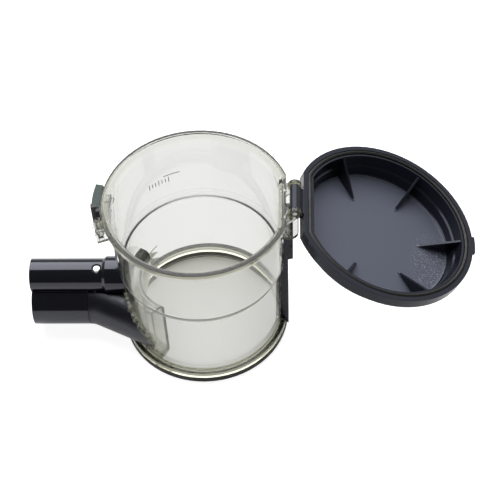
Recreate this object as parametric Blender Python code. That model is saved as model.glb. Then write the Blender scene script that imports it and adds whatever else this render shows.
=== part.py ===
"""Vacuum dust bin: a clear round cup with a hinged lid, a two-lobed wand socket, a sliding lid latch and a release bar.

Metres, +Z up. The origin is on the floor at the centre of the base ring. The lid hinge and the release bar are on the
+X side, the latch and the wand socket on the -X side. The lid is stored open and turns about its hinge pin.
"""

import math

import bmesh
import bpy
from mathutils import Matrix, Vector

# Clearances
FIT_GAP = 0.0003
RUN_GAP = 0.0004
CUT_PAST = 0.001

# Cup: a drafted tube, round below the step and flat on its hinge side above it
WALL = 0.0022
RIM_R = 0.0590
RIM_Z = 0.1203
RIM_LIP = 0.0027
RIM_FACE = 0.0026
RIM_CHAMFER = 0.0023
RIM_BAND = 0.0088
TAPER_LOW_Z = RIM_Z - RIM_BAND
TAPER_HEIGHT = 0.0051
UPPER_DRAFT = 0.0020
STEP_INSET = 0.0021
STEP_LOW_Z = 0.0650
STEP_HEIGHT = 0.0040
LOWER_DRAFT = 0.0007
UPPER_TOP_R = RIM_R - RIM_LIP
UPPER_BASE_R = UPPER_TOP_R - UPPER_DRAFT
LOWER_TOP_R = UPPER_BASE_R - STEP_INSET
BASE_WALL_R = LOWER_TOP_R - LOWER_DRAFT
RIM_FLAT_CUT = 0.0038
FLAT_INSET = 0.0024
RIM_FLAT_X = RIM_R - RIM_FLAT_CUT
FLAT_X = RIM_FLAT_X - FLAT_INSET
FLANGE_PROUD = 0.0037
FLANGE_R = BASE_WALL_R + FLANGE_PROUD
FLANGE_TOP_Z = 0.0099
FLANGE_HEIGHT = 0.0052
SPIGOT_LOW_Z = 0.0004
SPIGOT_INSET = 0.0001
SPIGOT_R = BASE_WALL_R - SPIGOT_INSET
SEAL_PROUD = 0.0002
SEAL_R = FLANGE_R + SEAL_PROUD
SEAL_LIP = 0.0006
ROUND_CORNER = math.radians(14.0)
ARC_STEPS = 62
FLAT_STEPS = 8

# Hinge
AXIS_OUT = 0.0054
AXIS_ABOVE = 0.0007
AXIS_X = RIM_FLAT_X + AXIS_OUT
AXIS_Z = RIM_Z + AXIS_ABOVE
OPEN_ANGLE = math.radians(200.9)
PIN_R = 0.0014
KNUCKLE_R = 0.0032
KNUCKLE_HALF = 0.0096
EAR_R = 0.0041
EAR_THICK = 0.0027
EAR_FOOT_DROP = 0.0013
EAR_FOOT_HEIGHT = 0.0090
EAR_FOOT_HIGH_Z = RIM_Z - EAR_FOOT_DROP
EAR_FOOT_LOW_Z = EAR_FOOT_HIGH_Z - EAR_FOOT_HEIGHT
PIN_INSET = 0.0006
SHELF_DROP = 0.0115
SHELF_Z = RIM_Z - SHELF_DROP
SHELF_THICK = 0.0024
SHELF_HALF = 0.0220
SHELF_REACH = 0.0077
SHELF_X = RIM_FLAT_X + SHELF_REACH
SHELF_CORNER = 0.0050

# Lid, measured shut
LID_SEAT_GAP = 0.0004
LID_OVERHANG = 0.0008
LID_FLAT_IN = 0.0004
LID_R = RIM_R + LID_OVERHANG
LID_FLAT_X = RIM_FLAT_X - LID_FLAT_IN
LID_BAND = 0.0030
LID_BAND_HEIGHT = 0.0077
LID_GROOVE = 0.0027
LID_GROOVE_DEPTH = 0.0030
LID_EDGE_DROP = 0.0010
LID_EDGE = 0.0014
LID_DEPTH = 0.0163
LID_SHELL = 0.0020
LID_STEP_DEPTH = 0.0085
LID_STEP = 0.0011
LID_DRAFT = 0.0010
LID_FLOOR_BEVEL = 0.0018
LID_SHOULDER = 0.0030
LID_SHOULDER_HEIGHT = 0.0014
LID_SEAL_PROUD = 0.0003
LID_KNUCKLE_ARM_HIGH = 0.0060
LID_RIB_LENGTH = 0.0240
LID_RIB_THICK = 0.0016
LID_RIB_AZIMUTHS = (180.0, 120.0, 240.0, 60.0, 300.0)
TAB_PROUD = 0.0016
TAB_HEIGHT = 0.0022
TAB_LOW_Y = -0.0090
TAB_HIGH_Y = 0.0040

# Latch: a curved button that slides round the rim, a claw, a spring and its barrel
LATCH_RIM_GAP = 0.0005
LATCH_THICK = 0.0049
LATCH_HEIGHT = 0.0115
LATCH_IN_R = RIM_R + LATCH_RIM_GAP
LATCH_OUT_R = LATCH_IN_R + LATCH_THICK
LATCH_TOP_Z = RIM_Z
LATCH_SHELF_Z = LATCH_TOP_Z - LATCH_HEIGHT
LATCH_SHELF_THICK = 0.0022
LATCH_SHELF_FROM = math.radians(167.0)
LATCH_SHELF_TO = math.radians(201.0)
BUTTON_FROM = math.radians(167.8)
BUTTON_TO = math.radians(185.4)
CLAW_TO = math.radians(188.4)
CLAW_POST_THICK = 0.0026
CLAW_POST_R = LATCH_OUT_R - CLAW_POST_THICK
CLAW_NIB_IN = 0.0008
CLAW_NIB_R = LATCH_IN_R + CLAW_NIB_IN
CLAW_NIB_THICK = 0.0016
TONGUE_IN = 0.0014
TONGUE_IN_R = LATCH_IN_R + TONGUE_IN
TONGUE_THICK = 0.0018
TONGUE_FOOT = 0.0007
TONGUE_FOOT_THICK = 0.0014
TONGUE_FROM = math.radians(174.0)
TONGUE_TO = math.radians(181.0)
LATCH_TRAVEL = math.radians(4.3)
BARREL_R = 0.0033
BARREL_OUT = 0.0018
BARREL_BELOW_RIM = 0.0047
BARREL_CENTRE_R = LATCH_IN_R + BARREL_OUT
BARREL_Z = RIM_Z - BARREL_BELOW_RIM
BARREL_FROM = math.radians(193.4)
BARREL_LENGTH = 0.0064
BARREL_BORE_R = 0.0023
BARREL_END = 0.0012
BARREL_HOLE_R = 0.0012
LATCH_SPRING_R = 0.0017
LATCH_SPRING_WIRE_R = 0.00028
LATCH_SPRING_TURNS = 6

# Release bar on the hinge side, with its rail and its spring
BAR_HALF = 0.0110
BAR_PROUD = 0.0008
BAR_X = RIM_FLAT_X + BAR_PROUD
BAR_LOW_Z = 0.0049
BAR_END_RISE = 0.0042
BAR_HEEL = 0.0010
BAR_TRAVEL = 0.0045
BLOCK_PROUD = 0.0033
BLOCK_X = BAR_X + BLOCK_PROUD
BLOCK_BELOW_SHELF = 0.0058
BLOCK_HEIGHT = 0.0284
BLOCK_HIGH_Z = SHELF_Z - BLOCK_BELOW_SHELF
BLOCK_LOW_Z = BLOCK_HIGH_Z - BLOCK_HEIGHT
GRIP_BELOW_TOP = 0.0145
GRIP_Z = BLOCK_HIGH_Z - GRIP_BELOW_TOP
GRIP_SIZE = 0.0016
RAIL_LOW_Z = 0.0250
RAIL_HIGH_Z = 0.0600
RAIL_NECK_HALF = 0.0020
RAIL_HEAD_HALF = 0.0035
RAIL_HEAD_THICK = 0.0011
RAIL_COVER = 0.0016
RAIL_X = BAR_X - RAIL_COVER
RELEASE_SPRING_R = 0.0021
RELEASE_SPRING_WIRE_R = 0.00035
RELEASE_SPRING_TURNS = 7
RELEASE_POCKET_R = 0.0026
RELEASE_POCKET_DEPTH = 0.0100
RELEASE_SPRING_IN = 0.0032
RELEASE_SPRING_X = BLOCK_X - RELEASE_SPRING_IN
NOTCH_SIDE_GAP = 0.0004

# Wand socket: a round airway with a smaller lobe above it for the power contacts
SOCKET_LENGTH = 0.0630
SOCKET_MOUTH_X = -BASE_WALL_R - SOCKET_LENGTH
AIRWAY_Y = -0.0027
AIRWAY_Z = 0.0204
AIRWAY_R = 0.0162
SOCKET_WALL = 0.0021
AIRWAY_BORE_R = AIRWAY_R - SOCKET_WALL
DUCT_OUT = 0.0255
AIRWAY_END_X = -BASE_WALL_R - DUCT_OUT
LOBE_R = 0.0112
LOBE_ASIDE = 0.0052
LOBE_LIFT = 0.0208
LOBE_Y = AIRWAY_Y + LOBE_ASIDE
LOBE_Z = AIRWAY_Z + LOBE_LIFT
COLLAR_PROUD = 0.0014
COLLAR_R = LOBE_R + COLLAR_PROUD
COLLAR_LENGTH = 0.0130
COLLAR_X = -BASE_WALL_R - COLLAR_LENGTH
COLLAR_CONE = 0.0020
POCKET_HALF = 0.0060
POCKET_BELOW = 0.0022
POCKET_ABOVE = 0.0068
POCKET_LOW_Z = LOBE_Z - POCKET_BELOW
POCKET_HIGH_Z = LOBE_Z + POCKET_ABOVE
POCKET_DEPTH = 0.0200
SCREW_OUT = 0.0185
SCREW_X = -BASE_WALL_R - SCREW_OUT
SCREW_ASIDE = 0.0027
SCREW_Y = LOBE_Y - SCREW_ASIDE
SCREW_CREST_Z = LOBE_Z + math.sqrt(LOBE_R**2 - SCREW_ASIDE**2)
SCREW_HEAD_R = 0.0027
SCREW_HEAD_HEIGHT = 0.0012
SCREW_RECESS_R = 0.0032
SCREW_RECESS_DEPTH = 0.0017
SCREW_SHANK_R = 0.0010
SCREW_HOLE_R = 0.0013
SCREW_LENGTH = 0.0048
SCREW_TIP_Z = SCREW_CREST_Z - SCREW_LENGTH
SCREW_SLOT = 0.0006

# Inlet duct: it turns off the straight airway and enters the cup at a slant
DUCT_TURN = math.radians(26.0)
DUCT_CORNER = 0.0059
DUCT_REACH = DUCT_OUT + BASE_WALL_R / 2
DUCT_STEPS = 5

# Power contacts
CONTACT_HALF = 0.0050
CONTACT_HEIGHT = 0.0080
CONTACT_LENGTH = 0.0110
CONTACT_PIN_R = 0.0011
CONTACT_PIN_LENGTH = 0.0150
CONTACT_PITCH = 0.0052

# Inlet guide inside the cup
GUIDE_FROM = math.radians(234.0)
GUIDE_TO = math.radians(152.0)
GUIDE_DEPTH = 0.0125
GUIDE_TAPER = 0.0030
GUIDE_DEEP_R = BASE_WALL_R - GUIDE_DEPTH
GUIDE_MOUTH_R = GUIDE_DEEP_R + GUIDE_TAPER
GUIDE_LOW_Z = 0.0040
GUIDE_MOUTH_LOW_Z = 0.0225
GUIDE_HIGH_Z = 0.0575
GUIDE_MOUTH_HIGH_Z = 0.0440
GUIDE_WALL = 0.0015
GUIDE_STATIONS = 22
GUIDE_CORNER = 0.0040
GUIDE_RISE = 3

ROUND_SEGMENTS = 48
SMALL_SEGMENTS = 24
SMOOTH_ANGLE = math.radians(30.0)


def clear_scene():
    for obj in list(bpy.data.objects):
        bpy.data.objects.remove(obj, do_unlink=True)


def make_material(name, colour, roughness, metallic=0.0, transmission=0.0):
    material = bpy.data.materials.new(name)
    material.use_nodes = True
    shader = material.node_tree.nodes["Principled BSDF"]
    shader.inputs["Base Color"].default_value = (*colour, 1.0)
    shader.inputs["Roughness"].default_value = roughness
    shader.inputs["Metallic"].default_value = metallic
    shader.inputs["Transmission Weight"].default_value = transmission
    material.diffuse_color = (*colour, 1.0)
    return material


def add_object(name, bm, material=None, parent=None):
    bmesh.ops.recalc_face_normals(bm, faces=bm.faces)
    mesh = bpy.data.meshes.new(name)
    bm.to_mesh(mesh)
    bm.free()
    mesh.shade_smooth()
    mesh.set_sharp_from_angle(angle=SMOOTH_ANGLE)
    obj = bpy.data.objects.new(name, mesh)
    bpy.context.scene.collection.objects.link(obj)
    if material:
        mesh.materials.append(material)
    if parent:
        obj.parent = parent
    return obj


def add_helper(name, bm, parent=None):
    """A cutter or a shape that is joined into another one."""
    helper = add_object(name, bm, parent=parent)
    helper.hide_render = True
    helper.display_type = "WIRE"
    return helper


def combine(obj, helper, operation):
    modifier = obj.modifiers.new(f"{operation.title()} {helper.name}", "BOOLEAN")
    modifier.operation = operation
    modifier.solver = "EXACT"
    modifier.object = helper


def join(obj, helper):
    combine(obj, helper, "UNION")


def cut(obj, helper):
    combine(obj, helper, "DIFFERENCE")


def loft(rings, closed=False):
    """Skins rings of equal length. A closed loft joins the last ring to the first, an open one is capped."""
    bm = bmesh.new()
    rows = [[bm.verts.new(point) for point in ring] for ring in rings]
    count = len(rows[0])
    pairs = list(zip(rows, rows[1:]))
    if closed:
        pairs.append((rows[-1], rows[0]))
    for low, high in pairs:
        for i in range(count):
            following = (i + 1) % count
            bm.faces.new((low[i], low[following], high[following], high[i]))
    if not closed:
        bm.faces.new(list(reversed(rows[0])))
        bm.faces.new(rows[-1])
    return bm


def prism(outline, lift):
    """Extrudes a flat outline of 3-D points along a vector."""
    bm = bmesh.new()
    face = bm.faces.new([bm.verts.new(point) for point in outline])
    extruded = bmesh.ops.extrude_face_region(bm, geom=[face])
    moved = [item for item in extruded["geom"] if isinstance(item, bmesh.types.BMVert)]
    bmesh.ops.translate(bm, vec=lift, verts=moved)
    return bm


def box(low, high):
    bm = bmesh.new()
    size = Vector(high) - Vector(low)
    centre = (Vector(high) + Vector(low)) / 2
    place = Matrix.Translation(centre) @ Matrix.Diagonal((*size, 1.0))
    bmesh.ops.create_cube(bm, size=1.0, matrix=place)
    return bm


def rod(start, end, radius, segments=ROUND_SEGMENTS, end_radius=None):
    """A round bar, or a cone, between two points."""
    bm = bmesh.new()
    along = Vector(end) - Vector(start)
    turn = Vector((0, 0, 1)).rotation_difference(along).to_matrix().to_4x4()
    place = Matrix.Translation((Vector(start) + Vector(end)) / 2) @ turn
    bmesh.ops.create_cone(
        bm,
        cap_ends=True,
        segments=segments,
        radius1=radius,
        radius2=radius if end_radius is None else end_radius,
        depth=along.length,
        matrix=place,
    )
    return bm


def turned_along_x(profile, y, z, segments=ROUND_SEGMENTS):
    """A turned shape whose axis lies along X, from its profile of places along the axis and radii."""
    rings = []
    for x, radius in profile:
        angles = [2 * math.pi * i / segments for i in range(segments)]
        rings.append([(x, y + radius * math.cos(a), z + radius * math.sin(a)) for a in angles])
    return loft(rings)


def d_ring(radius, flat, z):
    """A circle that a chord at x = flat cuts off. A flat beyond the radius leaves the circle whole."""
    cut_off = flat < radius
    corner = math.acos(flat / radius) if cut_off else ROUND_CORNER
    points = []
    for i in range(ARC_STEPS + 1):
        angle = corner + (2 * math.pi - 2 * corner) * i / ARC_STEPS
        points.append((radius * math.cos(angle), radius * math.sin(angle), z))
    for i in range(1, FLAT_STEPS):
        share = 2 * i / FLAT_STEPS - 1
        if cut_off:
            points.append((flat, share * radius * math.sin(corner), z))
        else:
            points.append((radius * math.cos(share * corner), radius * math.sin(share * corner), z))
    return points


def cup_rows():
    """Radius, flat and height of the outer and the inner wall, each from the bottom up."""
    whole = RIM_R + WALL
    step_high = STEP_LOW_Z + STEP_HEIGHT
    taper_high = TAPER_LOW_Z + TAPER_HEIGHT
    flange_low = FLANGE_TOP_Z - FLANGE_HEIGHT
    outer = [
        (SPIGOT_R, whole, SPIGOT_LOW_Z),
        (SPIGOT_R, whole, flange_low),
        (FLANGE_R, whole, flange_low),
        (FLANGE_R, whole, FLANGE_TOP_Z),
        (BASE_WALL_R, whole, FLANGE_TOP_Z),
        (LOWER_TOP_R, whole, STEP_LOW_Z),
        (UPPER_BASE_R, FLAT_X, step_high),
        (UPPER_TOP_R, FLAT_X, TAPER_LOW_Z),
        (RIM_R, RIM_FLAT_X, taper_high),
        (RIM_R, RIM_FLAT_X, RIM_Z),
    ]
    rim_in = RIM_R - RIM_FACE
    rim_flat_in = RIM_FLAT_X - RIM_FACE
    inner = [
        (BASE_WALL_R - WALL, whole, SPIGOT_LOW_Z),
        (BASE_WALL_R - WALL, whole, FLANGE_TOP_Z),
        (LOWER_TOP_R - WALL, whole, STEP_LOW_Z),
        (UPPER_BASE_R - WALL, FLAT_X - WALL, step_high),
        (UPPER_TOP_R - WALL, FLAT_X - WALL, RIM_Z - RIM_CHAMFER),
        (rim_in, rim_flat_in, RIM_Z),
    ]
    return outer, inner


def cup_envelope(name, gap):
    """The cup as a solid, grown by a gap: what seats on the cup is cut with it."""
    outer, _ = cup_rows()
    whole = RIM_R + WALL
    seal = [(SEAL_R + gap, whole, -CUT_PAST), (SEAL_R + gap, whole, FLANGE_TOP_Z - FLANGE_HEIGHT + gap)]
    rows = seal + [(radius + gap, flat + gap, z + gap) for radius, flat, z in outer[3:]]
    return add_helper(name, loft([d_ring(*row) for row in rows]))


def bent_bar(section, start, end):
    """A bar bent round the cup's axis, from its section of radii and heights."""
    steps = max(3, math.ceil((end - start) / math.radians(2.5)))
    stations = []
    for i in range(steps + 1):
        angle = start + (end - start) * i / steps
        stations.append([(r * math.cos(angle), r * math.sin(angle), z) for r, z in section])
    return loft(stations)


def arc_block(inner, outer, low, high, start, end):
    """A block bent round the cup's axis."""
    return bent_bar(((inner, low), (outer, low), (outer, high), (inner, high)), start, end)


def on_circle(radius, angle, z):
    return Vector((radius * math.cos(angle), radius * math.sin(angle), z))


def coil(name, start, end, radius, wire, turns, material):
    """A compression spring, as a wire with round section wound from start to end."""
    along = Vector(end) - Vector(start)
    side = along.orthogonal().normalized()
    other = along.normalized().cross(side)
    per_turn = 12
    count = turns * per_turn
    curve = bpy.data.curves.new(name, "CURVE")
    curve.dimensions = "3D"
    curve.bevel_depth = wire
    curve.bevel_resolution = 1
    curve.use_fill_caps = True
    spline = curve.splines.new("POLY")
    spline.points.add(count)
    room = along.normalized() * wire
    for i in range(count + 1):
        angle = 2 * math.pi * i / per_turn
        place = Vector(start) + room + (along - 2 * room) * (i / count)
        place += (side * math.cos(angle) + other * math.sin(angle)) * (radius - wire)
        spline.points[i].co = (*place, 1.0)
    obj = bpy.data.objects.new(name, curve)
    bpy.context.scene.collection.objects.link(obj)
    curve.materials.append(material)
    return obj


def ear_outline(y):
    """A hinge ear seen from the side: a round eye that runs down into the cup's rim."""
    root_x = RIM_FLAT_X - RIM_FACE / 2
    foot_high = Vector((root_x, EAR_FOOT_HIGH_Z))
    foot_low = Vector((root_x, EAR_FOOT_LOW_Z))
    eye = Vector((AXIS_X, AXIS_Z))
    upper = tangent_angle(foot_high, eye, EAR_R, 1)
    lower = tangent_angle(foot_low, eye, EAR_R, -1)
    points = [(foot_low.x, y, foot_low.y)]
    steps = 18
    if upper < lower:
        upper += 2 * math.pi
    for i in range(steps + 1):
        angle = lower + (upper - lower) * i / steps
        points.append((eye.x + EAR_R * math.cos(angle), y, eye.y + EAR_R * math.sin(angle)))
    points.append((foot_high.x, y, foot_high.y))
    return points


def tangent_angle(point, centre, radius, side):
    """The angle on a circle where a line from the point touches it."""
    towards = point - centre
    spread = math.acos(radius / towards.length)
    return math.atan2(towards.y, towards.x) - side * spread


def rounded_shelf(z):
    """The hinge shelf seen from above, with rounded outer corners."""
    inner_x = FLAT_X - WALL / 2
    points = [(inner_x, -SHELF_HALF, z)]
    for side in (-1, 1):
        centre_x = SHELF_X - SHELF_CORNER
        centre_y = side * (SHELF_HALF - SHELF_CORNER)
        for i in range(7):
            share = i / 6 if side < 0 else 1 - i / 6
            angle = side * (math.pi / 2) * (1 - share)
            points.append((centre_x + SHELF_CORNER * math.cos(angle), centre_y + SHELF_CORNER * math.sin(angle), z))
    points.append((inner_x, SHELF_HALF, z))
    return points


def build_cup(clear):
    outer, inner = cup_rows()
    rows = outer + inner[::-1]
    cup = add_object("dust_cup", loft([d_ring(*row) for row in rows], closed=True), clear)

    shelf = add_helper("hinge_shelf", prism(rounded_shelf(SHELF_Z), (0, 0, SHELF_THICK)))
    join(cup, shelf)
    ear_inside = KNUCKLE_HALF + RUN_GAP
    for side, label in ((-1, "near"), (1, "far")):
        start = side * ear_inside if side > 0 else side * (ear_inside + EAR_THICK)
        join(cup, add_helper(f"hinge_ear_{label}", prism(ear_outline(start), (0, EAR_THICK, 0))))
    ear_hole = rod(
        (AXIS_X, -ear_inside - EAR_THICK - CUT_PAST, AXIS_Z),
        (AXIS_X, ear_inside + EAR_THICK + CUT_PAST, AXIS_Z),
        PIN_R + FIT_GAP,
        SMALL_SEGMENTS,
    )
    cut(cup, add_helper("hinge_pin_hole", ear_hole))

    build_latch_seat(cup)
    build_bar_rail(cup)
    build_inlet_port(cup)
    return cup


def barrel_points():
    """The two end centres of the latch spring's barrel, which lies along the rim."""
    start = on_circle(BARREL_CENTRE_R, BARREL_FROM, BARREL_Z)
    along = Vector((-math.sin(BARREL_FROM), math.cos(BARREL_FROM), 0))
    lean = math.asin(BARREL_LENGTH / 2 / BARREL_CENTRE_R)
    along.rotate(Matrix.Rotation(lean, 3, "Z"))
    return start, along


def build_latch_seat(cup):
    shelf_low = LATCH_SHELF_Z - LATCH_SHELF_THICK
    root_r = UPPER_TOP_R - WALL / 2
    shelf = arc_block(root_r, LATCH_OUT_R, shelf_low, LATCH_SHELF_Z, LATCH_SHELF_FROM, LATCH_SHELF_TO)
    join(cup, add_helper("latch_shelf", shelf))
    start, along = barrel_points()
    end = start + along * BARREL_LENGTH
    join(cup, add_helper("latch_barrel", rod(start, end, BARREL_R, SMALL_SEGMENTS)))
    lean_to = BARREL_FROM + BARREL_LENGTH / BARREL_CENTRE_R
    web_in = BARREL_CENTRE_R - BARREL_R / 2
    web_out = BARREL_CENTRE_R + BARREL_R / 2
    web = arc_block(web_in, web_out, shelf_low + CUT_PAST, BARREL_Z - BARREL_BORE_R - FIT_GAP, BARREL_FROM, lean_to)
    join(cup, add_helper("latch_barrel_web", web))
    bore = rod(start - along * CUT_PAST, end - along * BARREL_END, BARREL_BORE_R, SMALL_SEGMENTS)
    cut(cup, add_helper("latch_barrel_bore", bore))
    hole = rod(start, end + along * CUT_PAST, BARREL_HOLE_R, SMALL_SEGMENTS)
    cut(cup, add_helper("latch_barrel_hole", hole))
    slot = arc_block(
        TONGUE_IN_R - RUN_GAP,
        TONGUE_IN_R + TONGUE_THICK + RUN_GAP,
        shelf_low - CUT_PAST,
        LATCH_SHELF_Z + CUT_PAST,
        TONGUE_FROM - RUN_GAP / TONGUE_IN_R,
        TONGUE_TO + LATCH_TRAVEL + RUN_GAP / TONGUE_IN_R,
    )
    cut(cup, add_helper("latch_slot", slot))


def build_bar_rail(cup):
    """The headed rail on the wall that the release bar slides on, hidden behind the bar."""
    root_x = BASE_WALL_R - WALL
    head_x = RAIL_X - RAIL_HEAD_THICK
    neck = box((root_x, -RAIL_NECK_HALF, RAIL_LOW_Z), (RAIL_X, RAIL_NECK_HALF, RAIL_HIGH_Z))
    join(cup, add_helper("bar_rail_neck", neck))
    head = box((head_x, -RAIL_HEAD_HALF, RAIL_LOW_Z), (RAIL_X, RAIL_HEAD_HALF, RAIL_HIGH_Z))
    join(cup, add_helper("bar_rail_head", head))
    notch_half = BAR_HALF + NOTCH_SIDE_GAP
    notch_x = math.sqrt((BASE_WALL_R + FIT_GAP) ** 2 - notch_half**2)
    notch = arc_block(
        BASE_WALL_R,
        FLANGE_R + CUT_PAST,
        FLANGE_TOP_Z - FLANGE_HEIGHT - CUT_PAST,
        FLANGE_TOP_Z + CUT_PAST,
        -math.atan2(notch_half, notch_x),
        math.atan2(notch_half, notch_x),
    )
    cut(cup, add_helper("flange_notch", notch))


def duct_tube(radius, start_x):
    """A round tube along the airway from start_x, round the bend and on into the cup."""
    start = Vector((AIRWAY_END_X, AIRWAY_Y, AIRWAY_Z))
    ahead = Vector((math.cos(DUCT_TURN), -math.sin(DUCT_TURN), 0))
    corner = start + Vector((DUCT_CORNER, 0, 0))
    end = corner + ahead * DUCT_CORNER
    places = [(Vector((start_x, AIRWAY_Y, AIRWAY_Z)), 0.0)]
    for i in range(DUCT_STEPS + 1):
        t = i / DUCT_STEPS
        place = start * (1 - t) ** 2 + corner * (2 * t * (1 - t)) + end * t**2
        if place.x > start_x:
            places.append((place, DUCT_TURN * t))
    places.append((corner + ahead * DUCT_REACH, DUCT_TURN))
    rings = []
    for place, turn in places:
        side = Vector((math.sin(turn), math.cos(turn), 0))
        ring = []
        for k in range(ROUND_SEGMENTS):
            angle = 2 * math.pi * k / ROUND_SEGMENTS
            ring.append(place + side * (radius * math.cos(angle)) + Vector((0, 0, radius * math.sin(angle))))
        rings.append(ring)
    return loft(rings)


def contact_lobe(start_x, gap):
    """The small lobe from start_x to inside the cup's wall, with its collar, grown by a gap."""
    profile = [
        (start_x, LOBE_R + gap),
        (COLLAR_X - COLLAR_CONE - gap, LOBE_R + gap),
        (COLLAR_X - gap, COLLAR_R + gap),
        (-BASE_WALL_R / 2, COLLAR_R + gap),
    ]
    return turned_along_x(profile, LOBE_Y, LOBE_Z)


def build_inlet_port(cup):
    """The port in the wall where the inlet duct enters the cup."""
    cut(cup, add_helper("inlet_port", duct_tube(AIRWAY_BORE_R, AIRWAY_END_X)))


def build_base_seal(rubber):
    high = FLANGE_TOP_Z - FLANGE_HEIGHT - FIT_GAP
    inner = SPIGOT_R + FIT_GAP
    whole = RIM_R + WALL
    rows = [
        (inner, whole, SEAL_LIP),
        (inner + SEAL_LIP, whole, 0.0),
        (SEAL_R - SEAL_LIP, whole, 0.0),
        (SEAL_R, whole, SEAL_LIP),
        (SEAL_R, whole, high),
        (inner, whole, high),
    ]
    return add_object("base_seal", loft([d_ring(*row) for row in rows], closed=True), rubber)


def lid_rows():
    """Radius, flat and height of the shut lid, from the crown's edge round the band to the floor's edge."""
    seat = RIM_Z + LID_SEAT_GAP
    band_in = LID_BAND
    groove_in = LID_BAND + LID_GROOVE
    edge_in = groove_in + LID_EDGE
    wall_in = edge_in + LID_DRAFT
    step_in = wall_in + LID_STEP
    floor_in = step_in + LID_DRAFT
    crown = seat + LID_DEPTH + LID_SHELL
    outside = [
        (floor_in + LID_FLOOR_BEVEL - LID_SHELL, crown),
        (floor_in - LID_SHELL, crown - LID_FLOOR_BEVEL),
        (step_in - LID_SHELL, seat + LID_BAND_HEIGHT + LID_SHOULDER_HEIGHT),
        (LID_SHOULDER, seat + LID_BAND_HEIGHT + LID_SHOULDER_HEIGHT),
        (LID_SHOULDER / 3, seat + LID_BAND_HEIGHT),
        (0.0, seat + LID_BAND_HEIGHT - LID_SHOULDER_HEIGHT / 2),
        (0.0, seat),
    ]
    inside = [
        (band_in, seat),
        (band_in, seat + LID_GROOVE_DEPTH),
        (groove_in, seat + LID_GROOVE_DEPTH),
        (groove_in, seat + LID_EDGE_DROP),
        (edge_in, seat + LID_EDGE_DROP),
        (wall_in, seat + LID_STEP_DEPTH),
        (step_in, seat + LID_STEP_DEPTH + LID_STEP),
        (floor_in, seat + LID_DEPTH - LID_FLOOR_BEVEL),
        (floor_in + LID_FLOOR_BEVEL, seat + LID_DEPTH),
    ]
    return [(LID_R - inset, LID_FLAT_X - inset, z) for inset, z in outside + inside]


def build_lid(shell, hinge):
    lid = add_object("lid", loft([d_ring(*row) for row in lid_rows()]), shell, hinge)
    lid.location = -hinge.location
    seat = RIM_Z + LID_SEAT_GAP
    floor_z = seat + LID_DEPTH
    edge_in = LID_BAND + LID_GROOVE + LID_EDGE
    for number, azimuth in enumerate(LID_RIB_AZIMUTHS, 1):
        angle = math.radians(azimuth)
        outward = Vector((math.cos(angle), math.sin(angle), 0))
        sideways = Vector((-math.sin(angle), math.cos(angle), 0)) * LID_RIB_THICK
        reach = LID_R - edge_in - LID_DRAFT / 2
        low_reach = reach - LID_DRAFT - LID_STEP + LID_SHELL / 2
        top = outward * reach
        tip = outward * (reach - LID_RIB_LENGTH)
        outline = [
            outward * low_reach + Vector((0, 0, floor_z)),
            outward * (low_reach + LID_STEP) + Vector((0, 0, seat + LID_STEP_DEPTH)),
            outward * (reach + LID_SHELL / 2) + Vector((0, 0, seat + LID_EDGE_DROP + LID_STEP)),
            top + Vector((0, 0, seat + LID_EDGE_DROP + LID_STEP)),
            tip + Vector((0, 0, floor_z)),
            tip + Vector((0, 0, floor_z + LID_SHELL / 2)),
        ]
        rib = prism([point - sideways / 2 for point in outline], sideways)
        helper = add_helper(f"lid_rib_{number}", rib, hinge)
        helper.location = -hinge.location
        join(lid, helper)

    arm_high = AXIS_Z + LID_KNUCKLE_ARM_HIGH
    arm_low = seat + LID_SEAT_GAP
    arm_root = LID_FLAT_X - LID_BAND / 2
    arm_heel = RIM_FLAT_X + RUN_GAP
    outline = [(arm_root, -KNUCKLE_HALF, arm_low), (arm_heel, -KNUCKLE_HALF, arm_low)]
    eye = Vector((AXIS_X, AXIS_Z))
    lower = tangent_angle(Vector((arm_heel, arm_low)), eye, KNUCKLE_R, -1)
    upper = tangent_angle(Vector((arm_root, arm_high)), eye, KNUCKLE_R, 1)
    if upper < lower:
        upper += 2 * math.pi
    steps = 18
    for i in range(steps + 1):
        angle = lower + (upper - lower) * i / steps
        point = (eye.x + KNUCKLE_R * math.cos(angle), -KNUCKLE_HALF, eye.y + KNUCKLE_R * math.sin(angle))
        outline.append(point)
    outline.append((arm_root, -KNUCKLE_HALF, arm_high))
    arm = add_helper("lid_knuckle", prism(outline, (0, 2 * KNUCKLE_HALF, 0)), hinge)
    arm.location = -hinge.location
    join(lid, arm)
    hole = rod(
        (AXIS_X, -KNUCKLE_HALF - CUT_PAST, AXIS_Z),
        (AXIS_X, KNUCKLE_HALF + CUT_PAST, AXIS_Z),
        PIN_R + FIT_GAP,
        SMALL_SEGMENTS,
    )
    pin_hole = add_helper("lid_pin_hole", hole, hinge)
    pin_hole.location = -hinge.location
    cut(lid, pin_hole)

    tab_r = LID_R + TAB_PROUD
    tab = arc_block(
        LID_R - LID_BAND / 2,
        tab_r,
        seat,
        seat + TAB_HEIGHT,
        math.pi - math.asin(TAB_HIGH_Y / tab_r),
        math.pi - math.asin(TAB_LOW_Y / tab_r),
    )
    tab_helper = add_helper("lid_tab", tab, hinge)
    tab_helper.location = -hinge.location
    join(lid, tab_helper)
    return lid


def build_lid_seal(rubber, hinge):
    seat = RIM_Z + LID_SEAT_GAP
    low = seat - LID_SEAL_PROUD
    high = seat + LID_GROOVE_DEPTH - FIT_GAP
    out = LID_BAND + FIT_GAP
    inn = LID_BAND + LID_GROOVE - FIT_GAP
    middle = (out + inn) / 2
    inset_z = [(out, seat + LID_SEAL_PROUD), (middle, low), (inn, seat + LID_SEAL_PROUD), (inn, high), (out, high)]
    rows = [(LID_R - inset, LID_FLAT_X - inset, z) for inset, z in inset_z]
    seal = add_object("lid_seal", loft([d_ring(*row) for row in rows], closed=True), rubber, hinge)
    seal.location = -hinge.location
    return seal


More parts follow.
